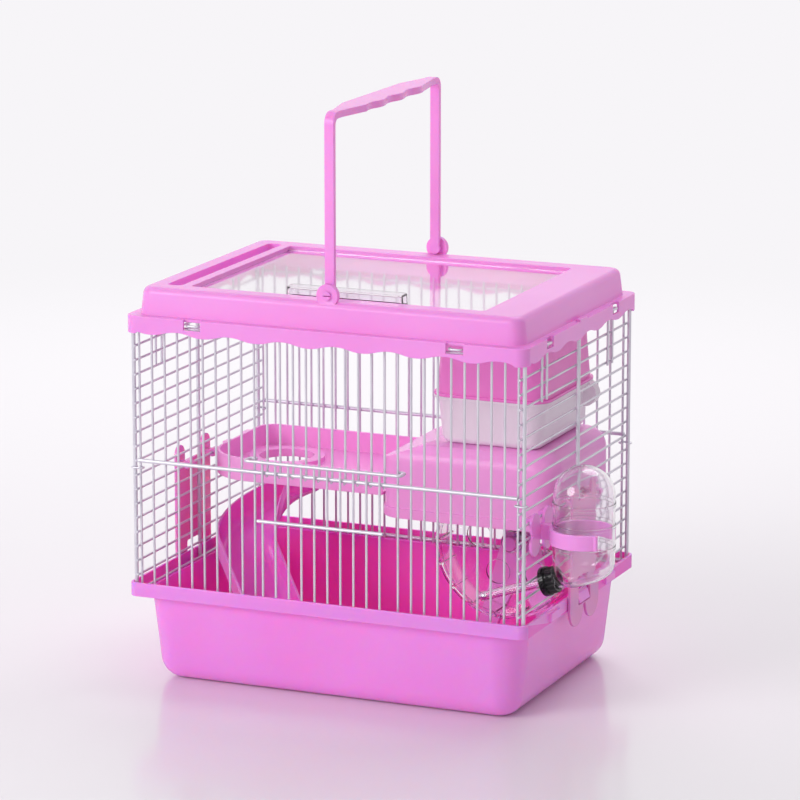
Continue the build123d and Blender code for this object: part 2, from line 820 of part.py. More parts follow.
with BuildPart() as tray:
    extrude(tray_plan(0, tray_bottom), amount=tray_height)
    extrude(tray_plan(tray_wall, tray_floor), amount=tray_height, mode=Mode.SUBTRACT)
    with Locations((hole_x, hole_y, tray_floor)):
        Cylinder(collar_radius, collar_height, align=(Align.CENTER, Align.CENTER, Align.MIN))
    with Locations((hole_x, hole_y, tray_bottom)):
        Cylinder(hole_radius, 3 * (collar_height + tray_wall), mode=Mode.SUBTRACT)
    for hook_from_back in tray_hooks_from_back:
        wire_hook(-1, -(tray_left + tray_wall / 2), 1, tray_back - hook_from_back, pivot_wire_z)
tray.part.label = "tray"
export_step(tray.part, "parts/tray.step")

# Slide: round-bottomed trough that turns under the tray's hole and runs straight down to the tub floor
slide_rise = tray_bottom - 2 * touch_gap - slide_wall_height - tub_floor - slide_run_drop
slide_middle = (slide_inner + slide_outer) / 2
with BuildPart() as chute:
    with BuildLine() as spiral:
        Helix(
            slide_rise * 360 / slide_turn, slide_rise, slide_middle, center=(0, 0, slide_run_drop), lefthand=True
        )
    with BuildSketch(Plane.XZ) as trough:
        with BuildLine():
            brim = slide_run_drop + slide_wall_height
            trough_floor = slide_run_drop + slide_wall
            FilletPolyline(
                (slide_inner, brim), (slide_inner, slide_run_drop),
                (slide_outer, slide_run_drop), (slide_outer, brim),
                radius=slide_trough_round,
            )
            Line((slide_outer, brim), (slide_outer - slide_wall, brim))
            FilletPolyline(
                (slide_outer - slide_wall, brim), (slide_outer - slide_wall, trough_floor),
                (slide_inner + slide_wall, trough_floor), (slide_inner + slide_wall, brim),
                radius=slide_trough_round - slide_wall,
            )
            Line((slide_inner + slide_wall, brim), (slide_inner, brim))
        make_face()
    sweep(trough.sketch, path=spiral.line, is_frenet=True)
    extrude(trough.sketch, amount=hypot(slide_run, slide_run_drop), dir=(0, slide_run, -slide_run_drop))
with BuildPart() as slide:
    with Locations((hole_x + slide_right_of_hole, hole_y - slide_before_hole, tub_floor + touch_gap)):
        add(chute.part, rotation=(0, 0, slide_exit_angle))
slide.part.label = "slide"
export_step(slide.part, "parts/slide.step")

# Roof: open-bottomed platform with a rounded top, a ramped left side, a lower band and wire hooks
roof_left = tray_right + touch_gap
roof_right = side_wire_x - wire / 2 - roof_side_gap
roof_back = front_wire_y - wire / 2 - roof_back_gap
roof_front = roof_back - roof_width
roof_hook_z = side_zs[wires_below_roof_hooks]
roof_top = roof_hook_z + roof_hook_drop
roof_bottom = roof_top - roof_height
roof_length = roof_right - roof_left
roof_x = (roof_left + roof_right) / 2
roof_y = (roof_front + roof_back) / 2


def roof_block(inset):
    """The roof's outer form, or its hollow when drawn at an inset."""
    slope = roof_ramp_drop / roof_ramp_run
    ramp_shift = inset * (1 + slope**2) ** 0.5
    past = roof_ramp_run / 3
    low = roof_top - roof_ramp_drop - ramp_shift
    with BuildPart() as block:
        with BuildSketch(Plane.XY.offset(roof_bottom)):
            with Locations((roof_x, roof_y)):
                RectangleRounded(roof_length - 2 * inset, roof_width - 2 * inset, roof_corner - inset)
        extrude(amount=roof_top - inset - roof_bottom)
        fillet(block.faces().sort_by(Axis.Z)[-1].edges(), roof_round - inset)
        with BuildSketch(Plane.XZ):
            with BuildLine():
                Polyline(
                    (roof_left - past, low - slope * past),
                    (roof_left + roof_ramp_run + past, low + roof_ramp_drop + slope * past),
                    (roof_left - past, low + roof_ramp_drop + slope * past),
                    close=True,
                )
            make_face()
        extrude(amount=2 * roof_width, both=True, mode=Mode.SUBTRACT)
    return block.part


roof_body = roof_block(0)
roof_hollow = roof_block(roof_wall)
with BuildPart() as roof:
    add(roof_body)
    with BuildSketch(Plane.XY.offset(roof_bottom)):
        with Locations((roof_x, roof_y)):
            RectangleRounded(
                roof_length + 2 * roof_band_reach, roof_width + 2 * roof_band_reach, roof_corner + roof_band_reach
            )
    extrude(amount=roof_band)
    add(roof_hollow, mode=Mode.SUBTRACT)
    for hook_from_back in roof_hooks_from_back:
        wire_hook(1, roof_right - roof_wall / 2, 1, roof_back - hook_from_back, roof_hook_z)
roof.part.label = "roof"
export_step(roof.part, "parts/roof.step")

# Bowl: translucent dish with a flange and a side knob
bowl_top = roof_top + bowl_height
bowl_x = roof_right - bowl_from_right
bowl_y = roof_back - bowl_from_back
bowl_body = drafted_block(
    bowl_length - 2 * bowl_flange,
    bowl_width - 2 * bowl_flange,
    bowl_corner - bowl_flange,
    bowl_top,
    -bowl_height,
    bowl_draft,
    bowl_bottom_round,
)
bowl_hollow = drafted_block(
    bowl_length - 2 * bowl_flange - 2 * bowl_wall,
    bowl_width - 2 * bowl_flange - 2 * bowl_wall,
    bowl_corner - bowl_flange - bowl_wall,
    bowl_top,
    bowl_wall - bowl_height,
    bowl_draft,
    bowl_bottom_round - bowl_wall,
)
with BuildPart() as bowl:
    with Locations((bowl_x, bowl_y)):
        add(bowl_body)
    with BuildSketch(Plane.XY.offset(bowl_top - bowl_flange_thickness)):
        with Locations((bowl_x, bowl_y)):
            RectangleRounded(bowl_length, bowl_width, bowl_corner)
    extrude(amount=bowl_flange_thickness)
    with Locations((bowl_x + bowl_length / 2 - bowl_flange, bowl_y + bowl_knob_offset, bowl_top - bowl_knob_radius)):
        Cylinder(bowl_knob_radius, bowl_knob_width, rotation=along_y)
    with Locations((bowl_x, bowl_y)):
        add(bowl_hollow, mode=Mode.SUBTRACT)
bowl.part.label = "bowl"
export_step(bowl.part, "parts/bowl.step")

# Hood: tapered house cover on the bowl's flange, with an arched doorway on its left
hood_height = cover_top - hood_head_room - bowl_top
hood_length = bowl_length - 2 * hood_lip
hood_width = bowl_width - 2 * hood_lip
hood_body = drafted_block(hood_length, hood_width, hood_corner, bowl_top, hood_height, hood_draft, hood_round)
hood_hollow = drafted_block(
    hood_length - 2 * hood_wall,
    hood_width - 2 * hood_wall,
    hood_corner - hood_wall,
    bowl_top,
    hood_height - hood_wall,
    hood_draft,
    hood_round - hood_wall,
)
with BuildPart() as hood:
    with Locations((bowl_x, bowl_y)):
        add(hood_body)
    with BuildSketch(Plane.XY.offset(bowl_top)):
        with Locations((bowl_x, bowl_y)):
            RectangleRounded(bowl_length, bowl_width, bowl_corner)
    extrude(amount=bowl_flange_thickness)
    with Locations((bowl_x, bowl_y)):
        add(hood_hollow, mode=Mode.SUBTRACT)
    with BuildSketch(Plane.YZ.offset(bowl_x)):
        arch_z = bowl_top + hood_height - hood_door_top - hood_door_width / 2
        with Locations((bowl_y, (bowl_top + arch_z) / 2)):
            Rectangle(hood_door_width, arch_z - bowl_top)
        with Locations((bowl_y, arch_z)):
            Circle(hood_door_width / 2)
    extrude(amount=-bowl_length, mode=Mode.SUBTRACT)
hood.part.label = "hood"
export_step(hood.part, "parts/hood.step")

# Running wheel: drum with a holed back disc, a hub, a front lip and tread ribs
wheel_x = roof_right - wheel_from_right
wheel_z = tub_floor + wheel_rise
wheel_front = roof_back - wheel_from_back
wheel_back = wheel_front + wheel_depth
wheel_axis = Axis((wheel_x, 0, wheel_z), (0, 1, 0))
hub_front = wheel_back - hub_depth
wheel_bore = axle_radius + running_gap
with BuildPart() as wheel:
    with BuildSketch(Plane(origin=(wheel_x, 0, wheel_z), x_dir=(1, 0, 0), z_dir=(0, 0, 1))):
        with BuildLine():
            Polyline(
                (wheel_bore, hub_front),
                (hub_radius, hub_front),
                (hub_radius, wheel_back - wheel_wall),
                (wheel_radius - wheel_wall, wheel_back - wheel_wall),
                (wheel_radius - wheel_wall, wheel_front + wheel_wall),
                (wheel_radius - wheel_lip, wheel_front + wheel_wall),
                (wheel_radius - wheel_lip, wheel_front),
                (wheel_radius, wheel_front),
                (wheel_radius, wheel_back),
                (wheel_bore, wheel_back),
                close=True,
            )
        make_face()
    revolve(axis=wheel_axis)
    with BuildSketch(Plane(origin=(wheel_x, wheel_back, wheel_z), x_dir=(1, 0, 0), z_dir=(0, 1, 0))):
        with PolarLocations(wheel_window_circle, wheel_windows):
            Circle(wheel_window_radius)
    extrude(amount=-2 * wheel_wall, mode=Mode.SUBTRACT)
    with BuildSketch(
        Plane(origin=(wheel_x, wheel_back - wheel_wall / 2, wheel_z), x_dir=(1, 0, 0), z_dir=(0, 1, 0))
    ):
        with PolarLocations(wheel_radius - wheel_wall, wheel_treads):
            Rectangle(2 * tread_height, tread_width)
    extrude(amount=-(wheel_depth - wheel_wall))
    with BuildSketch(Plane(origin=(wheel_x, wheel_back, wheel_z), x_dir=(1, 0, 0), z_dir=(0, 1, 0))):
        Circle(2 * wheel_radius)
        Circle(wheel_radius, mode=Mode.SUBTRACT)
    extrude(amount=-wheel_depth, mode=Mode.SUBTRACT)
wheel.part.label = "wheel"
export_step(wheel.part, "parts/wheel.step")

# Wheel stand: A-frame behind the wheel on a foot plate that lies on the tub floor
stand_front = wheel_back + stand_gap
stand_back = stand_front + stand_thickness
with BuildPart() as wheel_stand:
    with BuildSketch(Plane(origin=(wheel_x, stand_back, tub_floor), x_dir=(1, 0, 0), z_dir=(0, -1, 0))) as frame_plan:
        with Locations((0, wheel_rise)):
            Circle(stand_top_radius)
        with Locations((-stand_foot_spread, stand_foot_radius), (stand_foot_spread, stand_foot_radius)):
            Circle(stand_foot_radius)
        make_hull(frame_plan.edges())
        with BuildLine():
            Polyline(
                (0, wheel_rise - stand_top_radius - 2 * stand_leg),
                (stand_foot_spread - stand_leg, foot_thickness + stand_leg),
                (stand_leg - stand_foot_spread, foot_thickness + stand_leg),
                close=True,
            )
        make_face(mode=Mode.SUBTRACT)
        with Locations((0, wheel_rise)):
            Circle(axle_radius + weld_gap, mode=Mode.SUBTRACT)
    extrude(amount=stand_thickness)
    with Locations((wheel_x, (stand_front + stand_back) / 2, tub_floor)):
        Box(foot_length, foot_width, foot_thickness, align=(Align.CENTER, Align.CENTER, Align.MIN))
wheel_stand.part.label = "wheel_stand"
export_step(wheel_stand.part, "parts/wheel_stand.step")

# Axle: headed pin through the stand and the hub
axle_front = hub_front - seat_gap - axle_cap_length + axle_cap_wall
with BuildPart() as wheel_axle:
    with Locations((wheel_x, (axle_front + stand_back + weld_gap) / 2, wheel_z)):
        Cylinder(axle_radius, stand_back + weld_gap - axle_front, rotation=along_y)
    with Locations((wheel_x, stand_back + weld_gap + axle_head_length / 2, wheel_z)):
        Cylinder(axle_head_radius, axle_head_length, rotation=along_y)
wheel_axle.part.label = "wheel_axle"
export_step(wheel_axle.part, "parts/wheel_axle.step")

# Axle cap: push-on cap that keeps the wheel on its axle
with BuildPart() as axle_cap:
    cap_back = hub_front - seat_gap
    with Locations((wheel_x, cap_back - axle_cap_length / 2, wheel_z)):
        Cylinder(axle_cap_radius, axle_cap_length, rotation=along_y)
    fillet(axle_cap.edges().sort_by(Axis.Y)[0], axle_cap_wall)
    with Locations((wheel_x, (axle_front - weld_gap + cap_back) / 2, wheel_z)):
        Cylinder(axle_radius + weld_gap, cap_back - axle_front + weld_gap, rotation=along_y, mode=Mode.SUBTRACT)
axle_cap.part.label = "axle_cap"
export_step(axle_cap.part, "parts/axle_cap.step")

# Line of the drinking spout: it passes midway between two level wires of the right panel
spout_z = side_zs[wires_below_spout - 1] + side_pitch / 2
spout_run = (cos(radians(spout_tilt)), 0, sin(radians(spout_tilt)))
bottle_y = bottle_from_front - front_wire_y
spout = Plane(origin=(side_wire_x, bottle_y, spout_z), x_dir=(0, 1, 0), z_dir=spout_run)
cap_radius = neck_radius + touch_gap + cap_side_wall
cap_back_x = side_wire_x + (cap_start + cap_length) * spout_run[0] - (cap_radius + cap_rib_radius) * spout_run[2]
bottle_x = cap_back_x + cap_clearance + bottle_radius
bottle_base = Plane(spout.origin, x_dir=(0, 1, 0), z_dir=(-spout_run[2], 0, spout_run[0]))
base_drop = neck_radius + bottle_base_margin
wall_run = bottle_x - bottle_radius - side_wire_x
bottle_bottom = spout_z + wall_run * tan(radians(spout_tilt)) - base_drop / spout_run[0]
bottle_reach = (bottle_x - side_wire_x) / spout_run[0]
head_start = cap_start + cap_wall + weld_gap
washer_start = head_start + tube_head_length + weld_gap
neck_start = washer_start + washer_thickness + weld_gap
clip_wire_z = side_zs[wires_below_clip]
clip_z = clip_wire_z - clip_hang
rib_pitch = clip_height + 2 * bottle_rib_gap + bottle_rib_width
rib_zs = [clip_z + rib_pitch * (i - 0.5) for i in range(1 + upper_ribs)]


def capsule(inset):
    """The bottle's body or its hollow: domed top and a base that slopes down to the spout."""
    radius = bottle_radius - inset
    low = bottle_bottom - bottle_radius
    with BuildPart() as body:
        with Locations((bottle_x, bottle_y, low)):
            Cylinder(radius, bottle_height, align=(Align.CENTER, Align.CENTER, Align.MIN))
        with Locations((bottle_x, bottle_y, low + bottle_height)):
            Sphere(radius)
        split(bisect_by=bottle_base.offset(inset - base_drop), keep=Keep.TOP)
        fillet(body.faces().filter_by(GeomType.PLANE).edges(), bottle_base_round - inset)
    return body.part


bottle_body = capsule(0)
bottle_hollow = capsule(bottle_wall)
with BuildPart() as bottle:
    add(bottle_body)
    with Locations(*[(bottle_x, bottle_y, z) for z in rib_zs]):
        Cylinder(bottle_radius + bottle_rib, bottle_rib_width)
    with BuildSketch(spout.offset(neck_start)):
        Circle(neck_radius)
    extrude(amount=bottle_reach - neck_start)
    add(bottle_hollow, mode=Mode.SUBTRACT)
    with BuildSketch(spout.offset(neck_start)):
        Circle(neck_radius - neck_wall)
    extrude(amount=bottle_reach - neck_start, mode=Mode.SUBTRACT)
bottle.part.label = "bottle"
export_step(bottle.part, "parts/bottle.step")

# Bottle cap: ribbed cup over the neck with a wider collar, holed for the tube
with BuildPart() as bottle_cap:
    with BuildSketch(spout.offset(cap_start)):
        Circle(cap_radius)
        with PolarLocations(cap_radius, cap_ribs):
            Circle(cap_rib_radius)
    extrude(amount=cap_length)
    with BuildSketch(spout.offset(cap_start)):
        Circle(cap_radius + cap_collar_reach)
    extrude(amount=cap_collar_length)
    with BuildSketch(spout.offset(cap_start + cap_wall)):
        Circle(neck_radius + touch_gap)
    extrude(amount=cap_length, mode=Mode.SUBTRACT)
    with BuildSketch(spout.offset(cap_start)):
        Circle(tube_radius + touch_gap)
    extrude(amount=cap_wall, mode=Mode.SUBTRACT)
bottle_cap.part.label = "bottle_cap"
export_step(bottle_cap.part, "parts/bottle_cap.step")

# Tube: headed drinking tube with a narrowed tip that holds the ball
tube_tip = head_start - tube_length
with BuildPart() as nozzle_tube:
    with BuildSketch(spout.offset(tube_tip)):
        Circle(tube_radius)
    extrude(amount=tube_length)
    with BuildSketch(spout.offset(head_start)):
        Circle(tube_head_radius)
    extrude(amount=tube_head_length)
    with BuildSketch(spout.offset(tube_tip)):
        Circle(tube_tip_bore)
    extrude(amount=tube_tip_length, mode=Mode.SUBTRACT)
    with BuildSketch(spout.offset(tube_tip + tube_tip_length)):
        Circle(tube_bore)
    extrude(amount=tube_length + tube_head_length, mode=Mode.SUBTRACT)
nozzle_tube.part.label = "nozzle_tube"
export_step(nozzle_tube.part, "parts/nozzle_tube.step")

# Washer: soft seal between the tube's head and the neck
with BuildPart() as cap_washer:
    with BuildSketch(spout.offset(washer_start)):
        Circle(neck_radius)
        Circle(washer_bore, mode=Mode.SUBTRACT)
    extrude(amount=washer_thickness)
cap_washer.part.label = "cap_washer"
export_step(cap_washer.part, "parts/cap_washer.step")

# Ball: steel valve ball behind the tube's narrowed tip
ball_seat = (ball_radius**2 - tube_tip_bore**2) ** 0.5
with BuildPart() as nozzle_ball:
    with Locations(spout.offset(tube_tip + tube_tip_length + ball_seat + weld_gap)):
        Sphere(ball_radius)
nozzle_ball.part.label = "nozzle_ball"
export_step(nozzle_ball.part, "parts/nozzle_ball.step")

# Bottle clip: open ring with beaded ends, stem and butterfly plate with two hooks over a level wire
clip_inner = bottle_radius + touch_gap
clip_plate_x = side_wire_x + wire / 2 + touch_gap
clip_end = clip_inner + clip_bead
with BuildPart() as bottle_clip:
    with BuildSketch(Plane.XY.offset(clip_z - clip_height / 2)):
        with Locations((bottle_x, bottle_y)):
            Circle(clip_inner + clip_wall)
        stem_length = bottle_x - clip_plate_x
        with Locations((bottle_x - stem_length / 2, bottle_y)):
            Rectangle(stem_length, clip_stem_width)
        with Locations((bottle_x, bottle_y)):
            Circle(clip_inner, mode=Mode.SUBTRACT)
        gap_reach = 2 * bottle_radius
        gap_half = gap_reach * tan(radians(clip_opening / 2))
        with BuildLine():
            Polyline(
                (bottle_x, bottle_y),
                (bottle_x + gap_reach, bottle_y - gap_half),
                (bottle_x + gap_reach, bottle_y + gap_half),
                close=True,
            )
        make_face(mode=Mode.SUBTRACT)
        end_x = bottle_x + clip_end * cos(radians(clip_opening / 2))
        end_y = clip_end * sin(radians(clip_opening / 2))
        with Locations((end_x, bottle_y - end_y), (end_x, bottle_y + end_y)):
            Circle(clip_bead)
    extrude(amount=clip_height)
    with BuildSketch(Plane.YZ.offset(clip_plate_x)):
        with Locations((bottle_y, clip_z)):
            Rectangle(2 * clip_wing_spread, clip_height)
        with Locations(
            *[(bottle_y + s * clip_wing_spread, clip_z + t * clip_wing_rise) for s in (-1, 1) for t in (-1, 1)]
        ):
            Circle(clip_wing_radius)
    extrude(amount=clip_plate_thickness)
    for s in (-1, 1):
        wire_hook(
            1,
            clip_plate_x + clip_plate_thickness / 2,
            -1,
            bottle_y + s * clip_wing_spread,
            clip_wire_z,
        )
bottle_clip.part.label = "bottle_clip"
export_step(bottle_clip.part, "parts/bottle_clip.step")
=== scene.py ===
# %% [markdown]
# A small hamster cage: a moulded pink tub and cover, panels of coated wire between them, a
# sliding wire door, a clear hinged lid, a carrying handle, and the fittings inside. The CAD frame
# already has every form at its real size, so this lesson gives each piece its softened edges, its
# finish and the small traces of how it was made, and then sets up the light and the camera.

# %% Load the frame
import json
from math import cos, radians, sin

import bmesh
import bpy
from mathutils import Matrix, Vector
from mathutils.bvhtree import BVHTree


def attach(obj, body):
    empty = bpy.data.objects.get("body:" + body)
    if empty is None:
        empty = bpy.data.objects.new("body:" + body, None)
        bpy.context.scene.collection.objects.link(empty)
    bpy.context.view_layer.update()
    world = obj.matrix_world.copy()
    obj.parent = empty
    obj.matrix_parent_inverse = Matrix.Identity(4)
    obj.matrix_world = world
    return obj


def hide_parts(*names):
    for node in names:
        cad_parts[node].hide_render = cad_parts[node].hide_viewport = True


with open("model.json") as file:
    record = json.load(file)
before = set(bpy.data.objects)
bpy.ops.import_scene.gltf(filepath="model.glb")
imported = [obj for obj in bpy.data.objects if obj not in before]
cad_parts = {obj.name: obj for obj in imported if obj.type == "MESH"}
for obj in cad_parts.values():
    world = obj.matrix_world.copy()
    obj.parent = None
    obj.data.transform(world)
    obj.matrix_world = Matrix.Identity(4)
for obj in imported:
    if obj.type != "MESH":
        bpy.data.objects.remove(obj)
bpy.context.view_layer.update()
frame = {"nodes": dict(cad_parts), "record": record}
MM = 0.001

# %% [markdown]
# Colours are easiest to judge as screen values, but shaders work in linear light, so one helper
# turns a screen colour from 0 to 255 into the linear colour that a socket takes. Another sets
# several plain values on a node's sockets at once.


# %% Colour and socket helpers
def screen_colour(red, green, blue):
    def linear(value):
        share = value / 255
        return share / 12.92 if share <= 0.04045 else ((share + 0.055) / 1.055) ** 2.4

    return (linear(red), linear(green), linear(blue), 1.0)


def set_sockets(node, values):
    for socket, value in values.items():
        node.inputs[socket].default_value = value


print("mid grey in linear light:", round(screen_colour(128, 128, 128)[0], 3))

# %% [markdown]
# Moulded polystyrene is glossy but never perfect: the steel mould leaves a very fine ripple,
# handling leaves faint dull patches, and the colour drifts a little with the wall's thickness. A
# single noise could drive all of it, but the three have different sizes, so each gets its own
# noise on Object coordinates, which stay fixed to the piece when it moves. The walls are thin
# enough for some light to soak through them, red most of all, so subsurface scattering lets the
# inside glow.

# %% Plastic finish
POLYSTYRENE_IOR = 1.5
POLYSTYRENE_SHINE = 0.32
SOAK_REACH = (1.0, 0.06, 0.14)
SOAK_DEPTH = 7 * MM
RIPPLE_HEIGHT = 0.05 * MM
DRIFT_TO_PATCH = 3
DEEP_AT, PALE_AT = 0.3, 0.7
SHINY_AT, DULL_AT = 0.35, 0.75
SHINIEST, DULLEST = 0.94, 1.1


def plastic(
    name, deep, pale, roughness=0.24, ripple=0.05, patch_scale=28.0, ripple_scale=900.0, glow=0.0
):
    material = bpy.data.materials.new(name)
    material.use_nodes = True
    nodes, links = material.node_tree.nodes, material.node_tree.links
    shader = nodes["Principled BSDF"]
    place = nodes.new("ShaderNodeTexCoord")

    def noise(scale, detail):
        pattern = nodes.new("ShaderNodeTexNoise")
        set_sockets(pattern, {"Scale": scale, "Detail": detail})
        links.new(place.outputs["Object"], pattern.inputs["Vector"])
        return pattern.outputs["Fac"]

    tint = nodes.new("ShaderNodeValToRGB")
    stops = tint.color_ramp.elements
    stops[0].position, stops[0].color = DEEP_AT, deep
    stops[1].position, stops[1].color = PALE_AT, pale
    links.new(noise(patch_scale / DRIFT_TO_PATCH, 2.0), tint.inputs["Fac"])
    links.new(tint.outputs["Color"], shader.inputs["Base Color"])

    dullness = nodes.new("ShaderNodeMapRange")
    set_sockets(dullness, {"From Min": SHINY_AT, "From Max": DULL_AT})
    set_sockets(dullness, {"To Min": roughness * SHINIEST, "To Max": roughness * DULLEST})
    links.new(noise(patch_scale, 4.0), dullness.inputs["Value"])
    links.new(dullness.outputs["Result"], shader.inputs["Roughness"])

    relief = nodes.new("ShaderNodeBump")
    set_sockets(relief, {"Strength": ripple, "Distance": RIPPLE_HEIGHT})
    links.new(noise(ripple_scale, 1.0), relief.inputs["Height"])
    links.new(relief.outputs["Normal"], shader.inputs["Normal"])

    set_sockets(shader, {"IOR": POLYSTYRENE_IOR, "Specular IOR Level": POLYSTYRENE_SHINE})
    set_sockets(shader, {"Subsurface Weight": glow, "Subsurface Radius": SOAK_REACH})
    set_sockets(shader, {"Subsurface Scale": SOAK_DEPTH})
    return material


print("index of refraction of the plastic:", POLYSTYRENE_IOR)

# %% [markdown]
# The mouldings come in several pinks. The tub scatters the most light, the cover and the handle
# less, the hood and the platforms least. The faces inside the tub and the chute get a deeper pink
# as painted shade, standing for the light that soaks through a wall or goes from wall to wall.

# %% Moulded colours
tub_pink = plastic(
    "tub_polystyrene", screen_colour(248, 144, 231), screen_colour(251, 154, 236), glow=0.9
)
pink = plastic(
    "pink_polystyrene", screen_colour(248, 150, 230), screen_colour(251, 160, 235), glow=0.35
)
# Painted shade: a deeper pink for the faces inside the tub, standing for light soaked through its
# walls.
tub_painted_shade_pink = plastic(
    "tub_painted_shade_polystyrene", screen_colour(254, 94, 214), screen_colour(255, 108, 220), glow=0.6
)
# Painted shade: a deeper pink for the faces inside the chute, standing for light soaked through
# its walls.
chute_painted_shade_pink = plastic(
    "chute_painted_shade_polystyrene", screen_colour(254, 118, 222), screen_colour(255, 130, 228), glow=0.6
)
hood_pink = plastic(
    "hood_polystyrene", screen_colour(254, 132, 216), screen_colour(255, 144, 222), glow=0.08
)
pale_pink = plastic(
    "pale_pink_polystyrene", screen_colour(253, 166, 232), screen_colour(255, 178, 237), glow=0.1
)
black = plastic(
    "black_cap_plastic", screen_colour(10, 9, 11), screen_colour(16, 15, 18), roughness=0.08
)
moulded = (tub_pink, pink, tub_painted_shade_pink, chute_painted_shade_pink, hood_pink, pale_pink, black)
print("moulded finishes:", [finish.name for finish in moulded])

# %% [markdown]
# The lid, the wheel and the bottle are clear polystyrene. Light goes through them and bends, and
# their edges look darker, which a fully transmitting shader gives by itself. The bowl is milky,
# and the latches are tinted and only partly clear, so they share the same finish with less
# transmission and more roughness. A transmitting surface casts a solid shadow in Cycles unless
# every bent ray is followed, so a shadow ray meets a see-through shader instead, nearly as clear
# as the piece is.

# %% Clear finishes
CLEAR_IOR = 1.49
CLEAR_SHINE = 0.5
CLEAR_RIPPLE = 0.02
SHADOW_CLEARNESS = 0.9


def clear(name, deep, pale, transmission, roughness, glow=0.0):
    material = plastic(name, deep, pale, roughness, CLEAR_RIPPLE, glow=glow)
    nodes, links = material.node_tree.nodes, material.node_tree.links
    shader = nodes["Principled BSDF"]
    set_sockets(shader, {"IOR": CLEAR_IOR, "Specular IOR Level": CLEAR_SHINE})
    set_sockets(shader, {"Transmission Weight": transmission})
    path = nodes.new("ShaderNodeLightPath")
    share = nodes.new("ShaderNodeMath")
    share.operation = "MULTIPLY"
    share.inputs[1].default_value = SHADOW_CLEARNESS * transmission
    links.new(path.outputs["Is Shadow Ray"], share.inputs[0])
    through = nodes.new("ShaderNodeBsdfTransparent")
    either = nodes.new("ShaderNodeMixShader")
    links.new(share.outputs["Value"], either.inputs["Fac"])
    links.new(shader.outputs["BSDF"], either.inputs[1])
    links.new(through.outputs["BSDF"], either.inputs[2])
    links.new(either.outputs["Shader"], nodes["Material Output"].inputs["Surface"])
    return material


crystal = clear(
    "clear_polystyrene", screen_colour(248, 244, 249), screen_colour(252, 250, 253),
    transmission=1.0, roughness=0.03,
)
bottle_clear = clear(
    "clear_bottle", screen_colour(246, 243, 247), screen_colour(251, 249, 252),
    transmission=1.0, roughness=0.05,
)
milky = clear(
    "milky_bowl", screen_colour(252, 240, 251), screen_colour(254, 247, 253),
    transmission=0.12, roughness=0.3,
)
tinted = clear(
    "tinted_latch", screen_colour(252, 140, 214), screen_colour(255, 154, 222),
    transmission=0.15, roughness=0.2, glow=0.7,
)
print("clear finishes:", crystal.name, bottle_clear.name, milky.name, tinted.name)

# %% [markdown]
# The wires are steel with a thin baked coating, near white with a touch of lavender. The coating
# pools a little, so its gloss varies along the wire. The wheel's axle and the valve ball are bare
# steel, which is polished by turning. The seal in the bottle's cap is dull rubber.

# %% Wire coating, steel and rubber
COATED_METAL = 0.35
COAT_WEIGHT, COAT_ROUGHNESS = 0.35, 0.12


def coating(name, deep, pale):
    material = plastic(
        name, deep, pale, roughness=0.3, ripple=0.12, patch_scale=120.0, ripple_scale=1600.0
    )
    shader = material.node_tree.nodes["Principled BSDF"]
    set_sockets(shader, {"Metallic": COATED_METAL})
    set_sockets(shader, {"Coat Weight": COAT_WEIGHT, "Coat Roughness": COAT_ROUGHNESS})
    return material


def drawn_steel(name, deep, pale, roughness):
    material = plastic(name, deep, pale, roughness, ripple=0.08, patch_scale=200.0)
    set_sockets(material.node_tree.nodes["Principled BSDF"], {"Metallic": 1.0})
    return material


wire_coat = coating(
    "lavender_wire_coat", screen_colour(206, 202, 214), screen_colour(220, 217, 226)
)
steel = drawn_steel(
    "drawn_steel", screen_colour(176, 176, 180), screen_colour(196, 196, 200), roughness=0.24
)
chrome = drawn_steel(
    "polished_ball", screen_colour(206, 206, 210), screen_colour(218, 218, 222), roughness=0.08
)
rubber = plastic(
    "seal_rubber", screen_colour(34, 34, 36), screen_colour(44, 44, 46), roughness=0.6, ripple=0.2
)
print("metal and rubber finishes:", wire_coat.name, steel.name, chrome.name, rubber.name)

# %% [markdown]
# A CAD solid has knife-sharp edges and flat facets. So each node is copied, its triangles are
# merged back into whole faces, and the copy becomes a smooth-shaded piece that keeps only its
# true edges sharp. Each copy later takes the body of the node that it stands for.

# %% Copies of the CAD nodes
body_of_node = {
    node: body for body, nodes in frame["record"]["behaviour"]["bodies"].items() for node in nodes
}
SHARP = radians(38)
FLAT = radians(0.8)
SAME_POINT = 0.002 * MM


def finish_mesh(shape, name, material):
    mesh = bpy.data.meshes.new(name)
    shape.to_mesh(mesh)
    shape.free()
    mesh.polygons.foreach_set("use_smooth", [True] * len(mesh.polygons))
    mesh.set_sharp_from_angle(angle=SHARP)
    mesh.materials.append(material)
    piece = bpy.data.objects.new(name, mesh)
    bpy.context.scene.collection.objects.link(piece)
    return piece


def merged_node(node):
    shape = bmesh.new()
    shape.from_mesh(frame["nodes"][node].data)
    bmesh.ops.remove_doubles(shape, verts=shape.verts, dist=SAME_POINT)
    bmesh.ops.dissolve_limit(shape, angle_limit=FLAT, verts=shape.verts, edges=shape.edges)
    return shape


# %% [markdown]
# The real mouldings have edges that are rounded by a fraction of a millimetre, and that is where
# the highlights sit, so the sharp edges are bevelled. Smooth shading across a narrow bevel would
# tilt the light on the broad faces beside it, so weighted normals keep those faces flat. The
# deeper pink of painted shade goes to the faces inside the tub and the chute, which are found by
# looking along four level rays: a face that meets its own piece on all four sides, or on three in
# the chute, whose ends are open, is inside.

# %% Softened edges
LEVEL_RAYS = [Vector(way) for way in ((1, 0, 0), (-1, 0, 0), (0, 1, 0), (0, -1, 0))]
OFF_THE_FACE = 0.5 * MM
EDGE_SEGMENTS = 2


# Marks the faces inside a piece for the painted shade, a deeper pink.
def mark_painted_shade_faces(shape, sides):
    walls = BVHTree.FromBMesh(shape)
    for face in shape.faces:
        start = face.calc_center_median() + face.normal * OFF_THE_FACE
        met = sum(walls.ray_cast(start, way)[0] is not None for way in LEVEL_RAYS)
        face.material_index = 1 if met >= sides else 0


